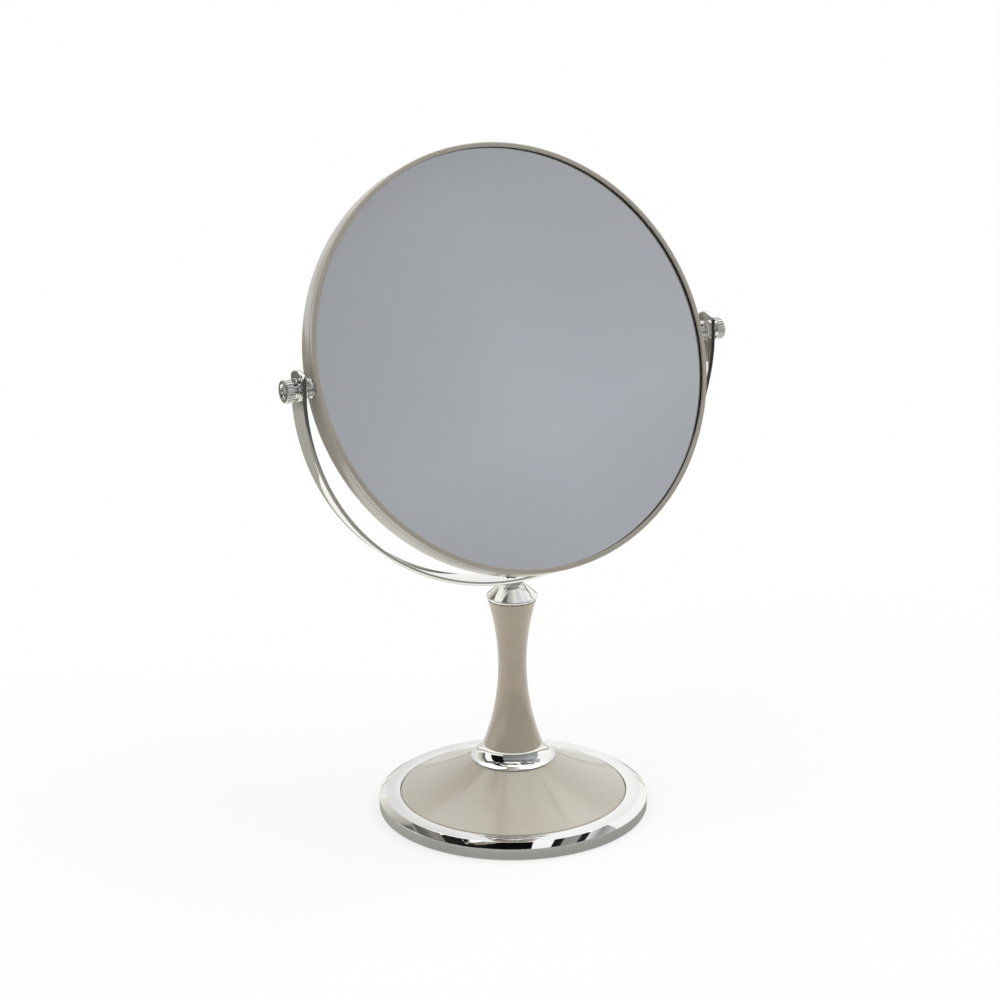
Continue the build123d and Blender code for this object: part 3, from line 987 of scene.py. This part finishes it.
def glow(name, first, second, tint):
    """Emission for a card: the product of the levels along its two sides."""
    material, tree = new_material(name)
    tree.nodes.remove(tree.nodes["Principled BSDF"])
    place = tree.nodes.new("ShaderNodeUVMap")
    split = tree.nodes.new("ShaderNodeSeparateXYZ")
    tree.links.new(place.outputs["UV"], split.inputs["Vector"])
    levels = []
    for way, stops in zip(split.outputs, (first, second)):
        greys = [(position, (level, level, level)) for position, level in stops]
        levels.append(colour_ramp(tree, way, greys))
    emission = tree.nodes.new("ShaderNodeEmission")
    emission.inputs["Color"].default_value = (*tint, 1)
    tree.links.new(arithmetic(tree, "MULTIPLY", *levels), emission.inputs["Strength"])
    tree.links.new(emission.outputs["Emission"], tree.nodes["Material Output"].inputs["Surface"])
    return material


def card(name, spot, steps, first, second, tint):
    """A stage card. spot(u, v) is a point of it for u and v from 0 to 1. It is seen only in
    polished surfaces and neither lights nor shades the object."""
    across, up = steps
    builder = bmesh.new()
    grid = []
    for i in range(across + 1):
        grid.append([builder.verts.new(spot(i / across, j / up)) for j in range(up + 1)])
    chart = builder.loops.layers.uv.new("card")
    for i in range(across):
        for j in range(up):
            corners = ((i, j), (i + 1, j), (i + 1, j + 1), (i, j + 1))
            face = builder.faces.new([grid[a][b] for a, b in corners])
            for loop, (a, b) in zip(face.loops, corners):
                loop[chart].uv = (a / across, b / up)
    piece = mesh_object(name, builder)
    piece.data.materials.append(glow(name, first, second, tint))
    piece.visible_camera = False
    piece.visible_diffuse = False
    piece.visible_shadow = False


def wall_card(name, sides, *look):
    """Part of a round wall about the object."""
    start, end, low, high = sides

    def spot(u, v):
        angle = camera_way + math.radians(start + (end - start) * u)
        return wall_distance * math.sin(angle), -wall_distance * math.cos(angle), low + (high - low) * v

    card(name, spot, (round((end - start) / wall_degrees_per_step), 1), *look)


def ceiling_card(name, sides, *look):
    """A level card overhead."""
    left, right, far, near = sides

    def spot(u, v):
        offset = left + (right - left) * u
        towards = far + (near - far) * v
        return (offset * math.cos(camera_way) + towards * math.sin(camera_way),
                offset * math.sin(camera_way) - towards * math.cos(camera_way), ceiling_height)

    card(name, spot, (1, 1), *look)


def table_card(name, sides, *look):
    """A ring on the table, as polished metal sees it."""
    inner, outer = sides

    def spot(u, v):
        angle = camera_way + 2 * math.pi * (u - 0.5)
        radius = inner + (outer - inner) * v
        return radius * math.sin(angle), -radius * math.cos(angle), card_lift

    card(name, spot, table_card_steps, *look)


studio_world()
floor()
for settings in suns:
    sun(*settings)
for settings in wall_cards:
    wall_card(*settings)
for settings in ceiling_cards:
    ceiling_card(*settings)
for settings in table_cards:
    table_card(*settings)


# Camera --------------------------------------------------------------------------

camera_distance = 1.25          # level distance from the pedestal's axis
camera_height = 0.5692
camera_pan = math.radians(0.25)
camera_pitch = math.radians(18.12)
camera_roll = math.radians(-0.45)
focal_pixels = 2716             # distance from the lens to an image of image_pixels
image_pixels = 1000
sensor = 36.0                   # width in millimetres


def photo_camera():
    camera = bpy.data.cameras.new("photo_camera")
    camera.sensor_width = sensor
    camera.lens = sensor * focal_pixels / image_pixels
    holder = linked_object("photo_camera", camera)
    turn = camera_way + camera_pan
    level = math.cos(camera_pitch)
    forward = Vector((-math.sin(turn) * level, math.cos(turn) * level, -math.sin(camera_pitch)))
    right = Vector((math.cos(turn), math.sin(turn), 0))
    up = right.cross(forward)
    rolled_right = right * math.cos(camera_roll) + up * math.sin(camera_roll)
    rolled_up = up * math.cos(camera_roll) - right * math.sin(camera_roll)
    axes = Matrix((rolled_right, rolled_up, -forward)).transposed().to_4x4()
    place = Vector((camera_distance * math.sin(camera_way), -camera_distance * math.cos(camera_way),
                    camera_height))
    holder.matrix_world = Matrix.Translation(place) @ axes
    bpy.context.scene.camera = holder


photo_camera()
bpy.context.scene.view_settings.view_transform = "Standard"
